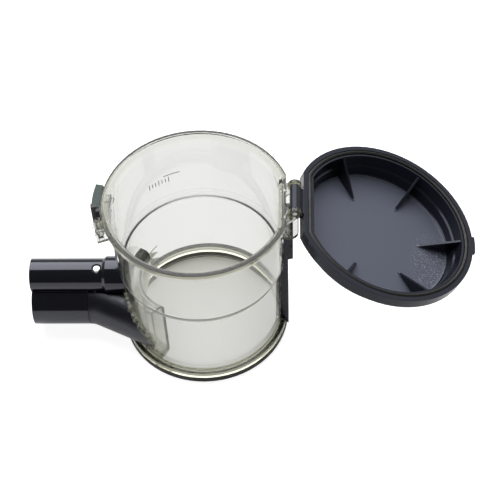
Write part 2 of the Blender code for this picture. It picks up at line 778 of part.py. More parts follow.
def build_hinge_pin(steel):
    half = KNUCKLE_HALF + RUN_GAP + EAR_THICK - PIN_INSET
    pin = rod((0, -half, 0), (0, half, 0), PIN_R, SMALL_SEGMENTS)
    obj = add_object("hinge_pin", pin, steel)
    obj.location = (AXIS_X, 0, AXIS_Z)
    return obj


def build_latch(button_plastic, claw_plastic, steel):
    floor = LATCH_SHELF_Z + FIT_GAP
    button = add_object(
        "latch_button",
        arc_block(LATCH_IN_R, LATCH_OUT_R, floor, LATCH_TOP_Z, BUTTON_FROM, BUTTON_TO),
        button_plastic,
    )
    tongue_out = TONGUE_IN_R + TONGUE_THICK
    foot_out = tongue_out + RUN_GAP + TONGUE_FOOT
    foot_high = LATCH_SHELF_Z - LATCH_SHELF_THICK - FIT_GAP
    foot_low = foot_high - TONGUE_FOOT_THICK
    hook = (
        (TONGUE_IN_R, foot_low),
        (foot_out, foot_low),
        (foot_out, foot_high),
        (tongue_out, foot_high),
        (tongue_out, floor + CUT_PAST),
        (TONGUE_IN_R, floor + CUT_PAST),
    )
    join(button, add_helper("latch_tongue", bent_bar(hook, TONGUE_FROM, TONGUE_TO)))

    seam = BUTTON_TO + FIT_GAP / LATCH_OUT_R
    nib_low = RIM_Z + LID_SEAT_GAP + TAB_HEIGHT + RUN_GAP
    nib_high = nib_low + CLAW_NIB_THICK
    claw_section = (
        (LATCH_IN_R, floor),
        (LATCH_OUT_R, floor),
        (LATCH_OUT_R, nib_high),
        (CLAW_NIB_R, nib_high),
        (CLAW_NIB_R, nib_low),
        (CLAW_POST_R, nib_low),
        (CLAW_POST_R, LATCH_TOP_Z),
        (LATCH_IN_R, LATCH_TOP_Z),
    )
    claw = add_object("latch_claw", bent_bar(claw_section, seam, CLAW_TO), claw_plastic)

    start, along = barrel_points()
    spring_end = start + along * (BARREL_LENGTH - BARREL_END - FIT_GAP)
    claw_face = on_circle(BARREL_CENTRE_R, CLAW_TO + FIT_GAP / BARREL_CENTRE_R, BARREL_Z)
    reach = (start - claw_face).dot(along)
    spring_start = start - along * (reach - FIT_GAP)
    coil("latch_spring", spring_start, spring_end, LATCH_SPRING_R, LATCH_SPRING_WIRE_R, LATCH_SPRING_TURNS, steel)
    return button, claw


def build_release_bar(plastic, steel):
    """The bar follows the round wall low down and the flat above the step. Its thumb block is near the hinge."""
    profile = [
        (BASE_WALL_R - WALL - BAR_HALF / 2, -BAR_HALF, BAR_LOW_Z + BAR_END_RISE),
        (LOWER_TOP_R - BAR_HEEL, -BAR_HALF, BAR_LOW_Z + BAR_END_RISE),
        (BAR_X, -BAR_HALF, BAR_LOW_Z),
        (BAR_X, -BAR_HALF, BLOCK_LOW_Z),
        (BLOCK_X, -BAR_HALF, BLOCK_LOW_Z + BAR_HEEL),
        (BLOCK_X, -BAR_HALF, BLOCK_HIGH_Z),
        (BASE_WALL_R - WALL - BAR_HALF / 2, -BAR_HALF, BLOCK_HIGH_Z),
    ]
    bar = add_object("release_bar", prism(profile, (0, 2 * BAR_HALF, 0)), plastic)
    groove_low = RAIL_LOW_Z - BAR_TRAVEL - RUN_GAP
    groove_high = RAIL_HIGH_Z + RUN_GAP
    root_x = BASE_WALL_R - WALL
    neck = box((root_x, -RAIL_NECK_HALF - RUN_GAP, groove_low), (RAIL_X, RAIL_NECK_HALF + RUN_GAP, groove_high))
    cut(bar, add_helper("bar_groove_neck", neck))
    head_low = (RAIL_X - RAIL_HEAD_THICK - RUN_GAP, -RAIL_HEAD_HALF - RUN_GAP, groove_low)
    head = box(head_low, (RAIL_X + RUN_GAP, RAIL_HEAD_HALF + RUN_GAP, groove_high))
    cut(bar, add_helper("bar_groove_head", head))
    grip = box(
        (BLOCK_X - GRIP_SIZE, -BAR_HALF - CUT_PAST, GRIP_Z - GRIP_SIZE / 2),
        (BLOCK_X + CUT_PAST, BAR_HALF + CUT_PAST, GRIP_Z + GRIP_SIZE / 2),
    )
    cut(bar, add_helper("bar_grip", grip))
    pocket_floor = BLOCK_HIGH_Z - RELEASE_POCKET_DEPTH
    pocket = rod(
        (RELEASE_SPRING_X, 0, pocket_floor),
        (RELEASE_SPRING_X, 0, BLOCK_HIGH_Z + CUT_PAST),
        RELEASE_POCKET_R,
        SMALL_SEGMENTS,
    )
    cut(bar, add_helper("bar_spring_pocket", pocket))
    cut(bar, cup_envelope("bar_seat", RUN_GAP))
    seat_raised = cup_envelope("bar_seat_raised", RUN_GAP)
    seat_raised.location.z = -BAR_TRAVEL
    cut(bar, seat_raised)
    coil(
        "release_spring",
        (RELEASE_SPRING_X, 0, pocket_floor + FIT_GAP),
        (RELEASE_SPRING_X, 0, SHELF_Z - FIT_GAP),
        RELEASE_SPRING_R,
        RELEASE_SPRING_WIRE_R,
        RELEASE_SPRING_TURNS,
        steel,
    )
    return bar


def build_socket(plastic):
    """The two-lobed socket: round airway below, contact lobe above, and a collar bedded on the cup's wall."""
    airway = rod((SOCKET_MOUTH_X, AIRWAY_Y, AIRWAY_Z), (AIRWAY_END_X, AIRWAY_Y, AIRWAY_Z), AIRWAY_R)
    socket = add_object("wand_socket", airway, plastic)
    join(socket, add_helper("socket_lobe", contact_lobe(SOCKET_MOUTH_X, 0.0)))
    cut(socket, cup_envelope("socket_seat", FIT_GAP))
    cut(socket, add_helper("socket_bore", duct_tube(AIRWAY_BORE_R, SOCKET_MOUTH_X - CUT_PAST)))
    pocket = box(
        (SOCKET_MOUTH_X - CUT_PAST, LOBE_Y - POCKET_HALF, POCKET_LOW_Z),
        (SOCKET_MOUTH_X + POCKET_DEPTH, LOBE_Y + POCKET_HALF, POCKET_HIGH_Z),
    )
    cut(socket, add_helper("socket_pocket", pocket))
    recess = rod(
        (SCREW_X, SCREW_Y, SCREW_CREST_Z - SCREW_RECESS_DEPTH),
        (SCREW_X, SCREW_Y, SCREW_CREST_Z + CUT_PAST),
        SCREW_RECESS_R,
        SMALL_SEGMENTS,
    )
    cut(socket, add_helper("socket_screw_recess", recess))
    hole = rod(
        (SCREW_X, SCREW_Y, SCREW_TIP_Z - FIT_GAP),
        (SCREW_X, SCREW_Y, SCREW_CREST_Z),
        SCREW_HOLE_R,
        SMALL_SEGMENTS,
    )
    cut(socket, add_helper("socket_screw_hole", hole))
    return socket


def build_socket_screw(steel):
    seat = SCREW_CREST_Z - SCREW_RECESS_DEPTH + FIT_GAP
    head_top = seat + SCREW_HEAD_HEIGHT
    head = rod((0, 0, seat), (0, 0, head_top), SCREW_HEAD_R, SMALL_SEGMENTS, SCREW_HEAD_R * 0.8)
    screw = add_object("socket_screw", head, steel)
    screw.location = (SCREW_X, SCREW_Y, 0)
    shank = add_helper("screw_shank", rod((0, 0, SCREW_TIP_Z), (0, 0, seat + SCREW_SLOT / 2), SCREW_SHANK_R, SMALL_SEGMENTS))
    shank.location = screw.location
    join(screw, shank)
    for number, (half_x, half_y) in enumerate(((SCREW_HEAD_R * 0.6, SCREW_SLOT / 2), (SCREW_SLOT / 2, SCREW_HEAD_R * 0.6)), 1):
        slot = box((-half_x, -half_y, head_top - SCREW_SLOT), (half_x, half_y, head_top + CUT_PAST))
        helper = add_helper(f"screw_slot_{number}", slot)
        helper.location = screw.location
        cut(screw, helper)
    return screw


def build_inlet_duct(plastic):
    """The duct that carries the airway under the contact lobe and round to the port in the cup's wall."""
    duct = add_object("inlet_duct", duct_tube(AIRWAY_R, AIRWAY_END_X + FIT_GAP), plastic)
    cut(duct, add_helper("duct_bore", duct_tube(AIRWAY_BORE_R, AIRWAY_END_X - CUT_PAST)))
    cut(duct, add_helper("duct_lobe_seat", contact_lobe(AIRWAY_END_X - CUT_PAST, FIT_GAP)))
    cut(duct, cup_envelope("duct_wall_seat", FIT_GAP))
    return duct


def build_contacts(plastic, brass):
    back = SOCKET_MOUTH_X + POCKET_DEPTH - FIT_GAP
    low = POCKET_LOW_Z + FIT_GAP
    block = box(
        (back - CONTACT_LENGTH, LOBE_Y - CONTACT_HALF, low),
        (back, LOBE_Y + CONTACT_HALF, low + CONTACT_HEIGHT),
    )
    carrier = add_object("contact_block", block, plastic)
    pin_z = low + CONTACT_HEIGHT / 2
    for side, label in ((-1, "near"), (1, "far")):
        y = LOBE_Y + side * CONTACT_PITCH / 2
        hole = rod((back - CONTACT_LENGTH - CUT_PAST, y, pin_z), (back - CUT_PAST, y, pin_z), CONTACT_PIN_R + FIT_GAP, SMALL_SEGMENTS)
        cut(carrier, add_helper(f"contact_hole_{label}", hole))
        root = back - CUT_PAST - FIT_GAP
        pin = add_object(f"contact_pin_{label}", rod((-CONTACT_PIN_LENGTH, 0, 0), (0, 0, 0), CONTACT_PIN_R, SMALL_SEGMENTS), brass)
        pin.location = (root, y, pin_z)
    return carrier


def guide_section(angle, inset, outer_r):
    """One station of the inlet guide: a section with two rounded corners on its inner side."""
    share = (GUIDE_FROM - angle) / (GUIDE_FROM - GUIDE_TO)
    inner = GUIDE_DEEP_R + (GUIDE_MOUTH_R - GUIDE_DEEP_R) * share + inset
    low = GUIDE_LOW_Z + (GUIDE_MOUTH_LOW_Z - GUIDE_LOW_Z) * share**GUIDE_RISE + inset
    high = GUIDE_HIGH_Z + (GUIDE_MOUTH_HIGH_Z - GUIDE_HIGH_Z) * share - inset
    corner = max(GUIDE_CORNER - inset, GUIDE_CORNER / 4)
    section = [(outer_r, low)]
    for centre_z, turn in ((low + corner, -1), (high - corner, 1)):
        for i in range(5):
            swing = math.pi / 2 * (i / 4 if turn > 0 else 1 - i / 4)
            section.append((inner + corner - corner * math.cos(swing), centre_z + turn * corner * math.sin(swing)))
    section.append((outer_r, high))
    return [on_circle(r, angle, z) for r, z in section]


def build_inlet_guide(clear):
    """A hood inside the cup that turns the incoming air round the wall."""
    step = (GUIDE_TO - GUIDE_FROM) / GUIDE_STATIONS
    wall_r = BASE_WALL_R - WALL - FIT_GAP
    outside = [guide_section(GUIDE_FROM + step * i, 0.0, wall_r) for i in range(GUIDE_STATIONS + 1)]
    guide = add_object("inlet_guide", loft(outside), clear)
    closed_end = GUIDE_WALL / GUIDE_DEEP_R
    hollow_from = GUIDE_FROM - closed_end
    hollow_step = (GUIDE_TO - closed_end - hollow_from) / GUIDE_STATIONS
    hollow_r = wall_r + CUT_PAST
    inside = [guide_section(hollow_from + hollow_step * i, GUIDE_WALL, hollow_r) for i in range(GUIDE_STATIONS + 1)]
    cut(guide, add_helper("inlet_guide_hollow", loft(inside)))
    return guide


def main():
    clear_scene()
    clear = make_material("clear_plastic", (0.86, 0.87, 0.82), 0.05, transmission=0.9)
    lid_plastic = make_material("lid_plastic", (0.045, 0.048, 0.060), 0.32)
    socket_plastic = make_material("socket_plastic", (0.016, 0.018, 0.030), 0.16)
    bar_plastic = make_material("bar_plastic", (0.018, 0.018, 0.024), 0.30)
    button_plastic = make_material("button_plastic", (0.085, 0.160, 0.145), 0.28)
    claw_plastic = make_material("claw_plastic", (0.008, 0.009, 0.009), 0.35)
    contact_plastic = make_material("contact_plastic", (0.010, 0.010, 0.011), 0.45)
    rubber = make_material("seal_rubber", (0.012, 0.012, 0.011), 0.60)
    steel = make_material("steel", (0.60, 0.60, 0.58), 0.28, metallic=1.0)
    brass = make_material("brass", (0.72, 0.52, 0.20), 0.30, metallic=1.0)

    hinge = bpy.data.objects.new("lid_hinge", None)
    bpy.context.scene.collection.objects.link(hinge)
    hinge.location = (AXIS_X, 0, AXIS_Z)
    hinge.rotation_euler = (0, OPEN_ANGLE, 0)

    build_cup(clear)
    build_base_seal(rubber)
    build_inlet_guide(clear)
    build_hinge_pin(steel)
    build_lid(lid_plastic, hinge)
    build_lid_seal(rubber, hinge)
    build_latch(button_plastic, claw_plastic, steel)
    build_release_bar(bar_plastic, steel)
    build_socket(socket_plastic)
    build_socket_screw(steel)
    build_inlet_duct(socket_plastic)
    build_contacts(contact_plastic, brass)
    bpy.context.view_layer.update()


main()
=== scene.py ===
"""The looks of a clear vacuum dust bin with an open lid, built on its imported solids.

Each operator dresses one piece or one group of like pieces, and the last one sets the studio.
"""

import math

import bmesh
import bpy
import numpy as np
from mathutils import Matrix, Vector


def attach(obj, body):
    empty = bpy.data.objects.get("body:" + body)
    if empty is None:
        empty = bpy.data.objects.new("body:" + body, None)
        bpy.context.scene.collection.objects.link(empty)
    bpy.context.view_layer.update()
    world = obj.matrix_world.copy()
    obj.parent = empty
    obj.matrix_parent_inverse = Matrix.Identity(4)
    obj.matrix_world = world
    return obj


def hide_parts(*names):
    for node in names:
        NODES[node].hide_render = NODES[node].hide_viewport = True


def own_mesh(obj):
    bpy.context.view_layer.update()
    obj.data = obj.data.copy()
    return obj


bl_info = {
    "name": "Dust Bin Looks",
    "version": (1, 0, 0),
    "blender": (4, 5, 0),
    "location": "3D View > Sidebar > Dust Bin",
    "description": "Dresses a clear vacuum dust bin with an open lid",
    "category": "Object",
}

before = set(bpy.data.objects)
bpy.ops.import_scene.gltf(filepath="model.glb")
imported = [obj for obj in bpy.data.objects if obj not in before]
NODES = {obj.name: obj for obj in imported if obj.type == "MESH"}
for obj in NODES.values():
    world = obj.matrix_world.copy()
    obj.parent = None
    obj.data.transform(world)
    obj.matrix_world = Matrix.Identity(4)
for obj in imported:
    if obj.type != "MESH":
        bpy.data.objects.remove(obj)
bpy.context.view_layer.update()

WHITE = (1.0, 1.0, 1.0)

# The clear plastic's zones, in metres. Each pair is where a tint starts to change and where it ends.
RIM_HEIGHTS = (0.1174, 0.1180)
RIM_DISTANCES = (0.0570, 0.0574)
BASE_HEIGHTS = (0.0098, 0.0104)
# The hood's zone is where the inlet guide gets painted shade.
HOOD_DEPTHS = (0.004, 0.010)
HOOD_HEIGHTS = (0.032, 0.037)
STEP_HALF = 0.0028
SHADOW_TINT = (0.80, 0.80, 0.79)
CLEAR_IOR = 1.49
GUIDE_IOR = 1.28

# The open lid's floor: its normal, half its thickness as a zone, and the patch of painted glints on
# it.
LID_NORMAL = (0.3570, 0.0, 0.9341)
LID_FLOOR_HALF = 0.0010
PATCH_CENTRE = (0.1491, -0.0146, 0.0701)
PATCH_REACH = (0.019, 0.029, 0.019)
PAINTED_GLINT_COLOUR = (0.42, 0.44, 0.50)
GLINT_SPECK_ROUGHNESS = 0.16
GLINT_SPECK_HEIGHT = 0.0003

LID_IOR = 1.42
SOCKET_IOR = 1.7
SOCKET_GLEAM = (0.86, 0.87, 1.0)
SOFT_IOR = 1.36

# The studio: where the painted shade on the floor inside the base ring ends, and how far each kind
# of ray is lifted to white inside and outside that ring. Inside it the lift is lower for camera and
# glossy rays, which is painted shadow, and higher for rays through the glass, which is painted
# light.
PAINTED_SHADE_RING_EDGE = (0.0525, 0.0545)
LIFTS = {
    "Is Camera Ray": (0.03, 0.90),
    "Is Transmission Ray": (0.11, 0.0),
    "Is Glossy Ray": (0.2, 0.5),
}
WORLD_THROUGH_GLASS = 0.9
WORLD_TO_CAMERA = 1.0
WORLD_TURN = (-0.1, 0.6)
CAMERA_RIGHT = (0.9993, 0.0197, -0.0312)
CAMERA_AHEAD = (-0.0368, 0.6164, -0.7866)


# ---- Settings ----


def colour_prop(name, description, default):
    return bpy.props.FloatVectorProperty(
        name=name,
        description=description,
        default=default,
        size=3,
        subtype="COLOR",
        min=0.0,
        max=1.0,
    )


def number_prop(name, description, default, **kind):
    return bpy.props.FloatProperty(name=name, description=description, default=default, **kind)


def length_prop(name, description, default):
    return number_prop(name, description, default, subtype="DISTANCE", unit="LENGTH")


def share_prop(name, description, default):
    return number_prop(name, description, default, subtype="FACTOR", min=0.0, max=1.0)


class DustBinClear(bpy.types.PropertyGroup):
    tint: colour_prop(
        "Tint", "Colour that one surface of the clear plastic lets through", (0.780, 0.788, 0.796)
    )
    depth_tint: colour_prop(
        "Depth tint", "Colour that thick clear plastic takes", (0.72, 0.71, 0.56)
    )
    depth_density: number_prop("Depth density", "How soon the depth tint shows, per metre", 85.0)
    roughness: share_prop("Roughness", "Roughness of the polished wall", 0.025)
    scuff: share_prop("Scuff", "Roughness that the haze adds", 0.05)
    edge_round: length_prop("Edge rounding", "Rounding of the moulded edges", 0.0003)
    rim_tint: colour_prop(
        "Rim tint", "Colour that one surface of the thick rim lets through", (0.30, 0.30, 0.22)
    )
    base_tint: colour_prop(
        "Base tint", "Colour that one surface of the base flange lets through", (0.47, 0.475, 0.41)
    )
    guide_tint: colour_prop(
        "Guide tint", "Colour that one surface of the inlet guide lets through", (0.96, 0.96, 0.95)
    )
    # Painted shade: this dark tint in the guide's hood stands in for the dark refraction seen there.
    hood_painted_shade: colour_prop(
        "Hood tint", "Colour that one surface of the guide's hood lets through", (0.05, 0.05, 0.044)
    )
    weld: colour_prop("Weld", "Milky colour of the weld bead", (0.66, 0.67, 0.58))
    step_roughness: share_prop("Step roughness", "Roughness of the step in the wall", 0.38)
    thick_roughness: share_prop(
        "Thick edge roughness", "Roughness of the rim and the flange", 0.11
    )
    bead_round: length_prop(
        "Weld bead radius", "Mean radius of the lumpy weld bead round the inlet port", 0.0016
    )
    bead_reach: length_prop("Weld bead reach", "Distance of the bead from the duct's axis", 0.0172)
    teeth_radius: length_prop(
        "Teeth radius", "Distance of the guide's clouded teeth from the cup's axis", 0.0414
    )
    step_height: length_prop("Step height", "Height of the step's middle over the floor", 0.0670)
    mark_colour: colour_prop("Mark colour", "Colour of the level mark", (0.13, 0.13, 0.125))
    mark_radius: length_prop(
        "Mark radius", "Distance of the level mark from the cup's axis", 0.05268
    )
    mark_height: length_prop("Mark height", "Height of the level line over the floor", 0.0899)
    mark_width: length_prop("Mark width", "Width of the level line", 0.00045)


class DustBinPlastics(bpy.types.PropertyGroup):
    lid: colour_prop("Lid", "Dark blue grey of the lid's rim and walls", (0.012, 0.013, 0.020))
    lid_roughness: share_prop("Lid roughness", "Roughness of the lid's rim and walls", 0.20)
    # Painted sheen: the floor is lighter than the rim partly because of its matt texture and partly
    # to stand in for a soft lamp's reflection.
    lid_floor_colour_and_painted_sheen: colour_prop(
        "Lid floor", "Colour of the textured floor in the lid", (0.098, 0.108, 0.142)
    )
    lid_floor_roughness: share_prop(
        "Lid floor roughness", "Roughness of the textured floor in the lid", 0.50
    )
    lid_floor_height: length_prop(
        "Lid floor height", "Height of the lid's floor along the open lid's normal", 0.1187
    )
    gleam: colour_prop(
        "Gleam tint", "Blue cast in the gleam of the dark plastics", (0.80, 0.84, 1.0)
    )
    socket: colour_prop("Socket", "Blue black of the wand socket", (0.0045, 0.005, 0.009))
    socket_roughness: share_prop("Socket roughness", "Roughness of the wand socket", 0.11)
    duct_roughness: share_prop("Duct roughness", "Roughness of the inlet duct", 0.34)
    bar: colour_prop("Release bar", "Black of the release bar", (0.008, 0.008, 0.012))
    bar_roughness: share_prop("Release bar roughness", "Roughness of the release bar", 0.26)
    button: colour_prop("Button", "Green of the latch button", (0.030, 0.058, 0.052))
    button_roughness: share_prop("Button roughness", "Roughness of the latch button", 0.27)
    claw: colour_prop("Claw", "Black of the latch claw", (0.008, 0.009, 0.009))
    claw_roughness: share_prop("Claw roughness", "Roughness of the claw", 0.32)
    edge_round: length_prop("Edge rounding", "Rounding of the moulded edges", 0.0003)


class DustBinRubberAndMetal(bpy.types.PropertyGroup):
    rubber: colour_prop("Rubber", "Black of the seals", (0.012, 0.012, 0.011))
    rubber_roughness: share_prop("Rubber roughness", "Roughness of the seals", 0.52)
    steel: colour_prop("Steel", "Colour of the steel", (0.62, 0.62, 0.60))
    steel_roughness: share_prop("Steel roughness", "Roughness of the steel", 0.22)
    brass: colour_prop("Brass", "Colour of the contact pins", (0.76, 0.56, 0.24))


class DustBinStudio(bpy.types.PropertyGroup):
    front_light: number_prop("Front light", "Strength of the white light from the front", 0.10)
    world_light: number_prop("World light", "Strength of the soft white light from behind", 0.40)
    key_power: number_prop(
        "Key power", "Power of the large soft lamp behind", 13.0, subtype="POWER", unit="POWER"
    )
    sheen_power: number_prop(
        "Sheen power",
        "Power of the soft lamp that the lid mirrors",
        0.8,
        subtype="POWER",
        unit="POWER",
    )
    floor: colour_prop("Floor", "Colour of the floor", (0.58, 0.58, 0.58))
    lens: number_prop("Lens", "Focal length in millimetres", 93.6, unit="CAMERA")
    camera_place: bpy.props.FloatVectorProperty(
        name="Camera place",
        description="Where the camera stands",
        default=(0.0623, -0.5153, 0.7282),
        size=3,
        subtype="XYZ",
        unit="LENGTH",
    )


# ---- Meshes ----


def link(name, mesh, material, body, stands_for=()):
    """Puts a finished mesh into the scene, on its body, with its finish."""
    obj = bpy.data.objects.new(name, mesh)
    bpy.context.scene.collection.objects.link(obj)
    mesh.materials.clear()
    mesh.materials.append(material)
    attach(obj, body)
    if stands_for:
        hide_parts(*stands_for)
    return obj


def mesh_from(name, points, faces):
    mesh = bpy.data.meshes.new(name)
    mesh.from_pydata(points.reshape(-1, 3).tolist(), [], faces)
    mesh.update()
    return mesh


def tube_faces(rings, sides):
    """Quads round a tube of points, ring after ring, with a cap on each end."""
    i, j = np.meshgrid(np.arange(rings - 1), np.arange(sides), indexing="ij")
    here, ahead, j2 = i * sides, (i + 1) * sides, (j + 1) % sides
    quads = np.stack([here + j, here + j2, ahead + j2, ahead + j], axis=-1)
    first = list(range(sides))[::-1]
    last = [(rings - 1) * sides + k for k in range(sides)]
    return quads.reshape(-1, 4).tolist() + [first, last]


def refined(node, name, material, body, edge=0.0, angle=30.0):
    """A merged copy of a solid, shaded smooth below the angle, with its sharp edges rounded when an
    edge width is given.
    """
    bm = bmesh.new()
    bm.from_mesh(NODES[node].data)
    bmesh.ops.remove_doubles(bm, verts=bm.verts, dist=2e-6)
    bmesh.ops.join_triangles(
        bm,
        faces=bm.faces,
        angle_face_threshold=math.radians(0.3),
        angle_shape_threshold=math.radians(60),
    )
    mesh = bpy.data.meshes.new(name)
    bm.to_mesh(mesh)
    bm.free()
    stale = mesh.attributes.get("custom_normal")
    if stale:
        mesh.attributes.remove(stale)
    mesh.shade_smooth()
    mesh.set_sharp_from_angle(angle=math.radians(angle))
    obj = link(name, mesh, material, body, (node,))
    if edge > 0:
        bevel = obj.modifiers.new("Rounded edges", "BEVEL")
        bevel.width = edge
        bevel.segments = 2
        bevel.limit_method = "ANGLE"
        bevel.angle_limit = math.radians(angle)
        bevel.use_clamp_overlap = False
        bevel.harden_normals = True
    return obj


# ---- Steps in a finish ----


def new_material(name):
    material = bpy.data.materials.new(name)
    material.use_nodes = True
    tree = material.node_tree
    return material, tree, tree.nodes["Principled BSDF"]


def feed(tree, socket, value):
    """Gives a socket another node's output, or a plain value."""
    if isinstance(value, bpy.types.NodeSocket):
        tree.links.new(value, socket)
    else:
        socket.default_value = value


def source_of(socket):
    return socket.links[0].from_socket


def place_node(tree):
    return tree.nodes.new("ShaderNodeTexCoord").outputs["Object"]


def noise(tree, place, scale, detail, stretch=None):
    if stretch:
        mapping = tree.nodes.new("ShaderNodeMapping")
        mapping.inputs["Scale"].default_value = stretch
        tree.links.new(place, mapping.inputs["Vector"])
        place = mapping.outputs["Vector"]
    node = tree.nodes.new("ShaderNodeTexNoise")
    node.inputs["Scale"].default_value = scale
    node.inputs["Detail"].default_value = detail
    tree.links.new(place, node.inputs["Vector"])
    return node.outputs["Fac"]


def spread(tree, value, low, high, over=(0.3, 0.7)):
    """Maps a value from one range to another, and holds it at the ends."""
    node = tree.nodes.new("ShaderNodeMapRange")
    node.inputs["From Min"].default_value = over[0]
    node.inputs["From Max"].default_value = over[1]
    node.inputs["To Min"].default_value = low
    node.inputs["To Max"].default_value = high
    tree.links.new(value, node.inputs["Value"])
    return node.outputs["Result"]


def scalar(tree, operation, *values, clamp=False):
    """One step of arithmetic on sockets and plain numbers."""
    node = tree.nodes.new("ShaderNodeMath")
    node.operation = operation
    node.use_clamp = clamp
    for socket, value in zip(node.inputs, values):
        feed(tree, socket, value)
    return node.outputs["Value"]


def vector_step(tree, operation, vector, output, other=None):
    """One step of vector arithmetic, with the named output."""
    node = tree.nodes.new("ShaderNodeVectorMath")
    node.operation = operation
    tree.links.new(vector, node.inputs[0])
    if other is not None:
        node.inputs[1].default_value = other
    return node.outputs[output]


def axis_distance(tree, place):
    """Distance of a place from the cup's axis."""
    plan = vector_step(tree, "MULTIPLY", place, "Vector", (1.0, 1.0, 0.0))
    return vector_step(tree, "LENGTH", plan, "Value")


def two_levels(tree, share, first, second):
    """Mixes two numbers by a share."""
    node = tree.nodes.new("ShaderNodeMix")
    feed(tree, node.inputs["Factor"], share)
    feed(tree, node.inputs["A"], first)
    feed(tree, node.inputs["B"], second)
    return node.outputs["Result"]


def two_tone(tree, share, first, second):
    """Mixes two colours by a share. The first may come from another node."""
    node = tree.nodes.new("ShaderNodeMix")
    node.data_type = "RGBA"
    tree.links.new(share, node.inputs["Factor"])
    colour_a, colour_b, result = node.inputs[6], node.inputs[7], node.outputs[2]
    feed(tree, colour_a, first if isinstance(first, bpy.types.NodeSocket) else (*first, 1.0))
    colour_b.default_value = (*second, 1.0)
    return result


def bump(tree, height, distance, strength=1.0, normal=None):
    node = tree.nodes.new("ShaderNodeBump")
    node.inputs["Distance"].default_value = distance
    node.inputs["Strength"].default_value = strength
    tree.links.new(height, node.inputs["Height"])
    if normal is not None:
        tree.links.new(normal, node.inputs["Normal"])
    return node.outputs["Normal"]


def rounded_normal(tree, radius):
    """A normal that turns smoothly over sharp edges, as moulded edges do."""
    node = tree.nodes.new("ShaderNodeBevel")
    node.samples = 6
    node.inputs["Radius"].default_value = radius
    return node.outputs["Normal"]


# ---- Finishes ----


def moulded_finish(
    name, colour, roughness, grain=0.000012, edge=0.00035, ior=1.5, gleam=WHITE, cloud=0.12
):
    """Opaque moulded plastic: a faint cloud in its colour, fine grain, uneven gloss, soft edges."""
    material, tree, shader = new_material(name)
    place = place_node(tree)
    cloudy = noise(tree, place, scale=55.0, detail=4.0)
    dark = [c * (1 - cloud) for c in colour]
    light = [min(1.0, c * (1 + cloud)) for c in colour]
    tree.links.new(two_tone(tree, cloudy, dark, light), shader.inputs["Base Color"])
    rubbed = noise(tree, place, scale=240.0, detail=5.0)
    uneven = spread(tree, rubbed, roughness * 0.85, roughness * 1.2)
    tree.links.new(uneven, shader.inputs["Roughness"])
    fine = noise(tree, place, scale=2600.0, detail=2.0)
    grained = bump(tree, fine, grain, normal=rounded_normal(tree, edge))
    tree.links.new(grained, shader.inputs["Normal"])
    shader.inputs["IOR"].default_value = ior
    shader.inputs["Specular Tint"].default_value = (*gleam, 1.0)
    return material


def lid_finish(name, looks):
    """The lid's dark plastic, with a matt textured floor whose lighter colour is partly painted
    sheen, and a patch of painted glints on it.
    """
    material = moulded_finish(
        name, looks.lid, looks.lid_roughness, edge=looks.edge_round, ior=LID_IOR, gleam=looks.gleam
    )
    tree = material.node_tree
    shader = tree.nodes["Principled BSDF"]
    colour, gloss, normal = (shader.inputs[key] for key in ("Base Color", "Roughness", "Normal"))
    place = place_node(tree)
    along = vector_step(tree, "DOT_PRODUCT", place, "Value", LID_NORMAL)
    on_floor = scalar(tree, "COMPARE", along, looks.lid_floor_height, LID_FLOOR_HALF)
    patch = tree.nodes.new("ShaderNodeMapping")
    patch.vector_type = "TEXTURE"
    patch.inputs["Location"].default_value = PATCH_CENTRE
    patch.inputs["Scale"].default_value = PATCH_REACH
    tree.links.new(place, patch.inputs["Vector"])
    reach = vector_step(tree, "LENGTH", patch.outputs["Vector"], "Value")
    inside = spread(tree, reach, 1.0, 0.0, over=(0.35, 1.0))
    # Painted glints: light specks in a patch on the floor stand in for sparkle. Their lower
    # roughness and bump are real.
    fine = noise(tree, place, scale=1100.0, detail=2.0)
    specks = spread(tree, fine, 0.0, 1.0, over=(0.56, 0.66))
    painted_glints = scalar(tree, "MULTIPLY", scalar(tree, "MULTIPLY", inside, on_floor), specks)
    matt = two_levels(tree, on_floor, source_of(gloss), looks.lid_floor_roughness)
    tree.links.new(two_levels(tree, painted_glints, matt, GLINT_SPECK_ROUGHNESS), gloss)
    # Painted sheen: part of the floor's lighter colour stands in for a reflection.
    floor = two_tone(tree, on_floor, source_of(colour), looks.lid_floor_colour_and_painted_sheen)
    tree.links.new(two_tone(tree, painted_glints, floor, PAINTED_GLINT_COLOUR), colour)
    tree.links.new(bump(tree, painted_glints, GLINT_SPECK_HEIGHT, normal=source_of(normal)), normal)
    return material


def weld_finish(name, looks):
    """Clouded weld plastic: part clear, part milky, with a lumpy skin."""
    material, tree, shader = new_material(name)
    lumps = noise(tree, place_node(tree), scale=620.0, detail=3.0)
    milky = spread(tree, lumps, 0.0, 1.0, over=(0.42, 0.58))
    dark = [c * 0.35 for c in looks.weld]
    tree.links.new(two_tone(tree, milky, dark, looks.weld), shader.inputs["Base Color"])
    tree.links.new(bump(tree, lumps, 0.0004), shader.inputs["Normal"])
    shader.inputs["Roughness"].default_value = 0.14
    shader.inputs["Transmission Weight"].default_value = 0.55
    shader.inputs["IOR"].default_value = CLEAR_IOR
    return material


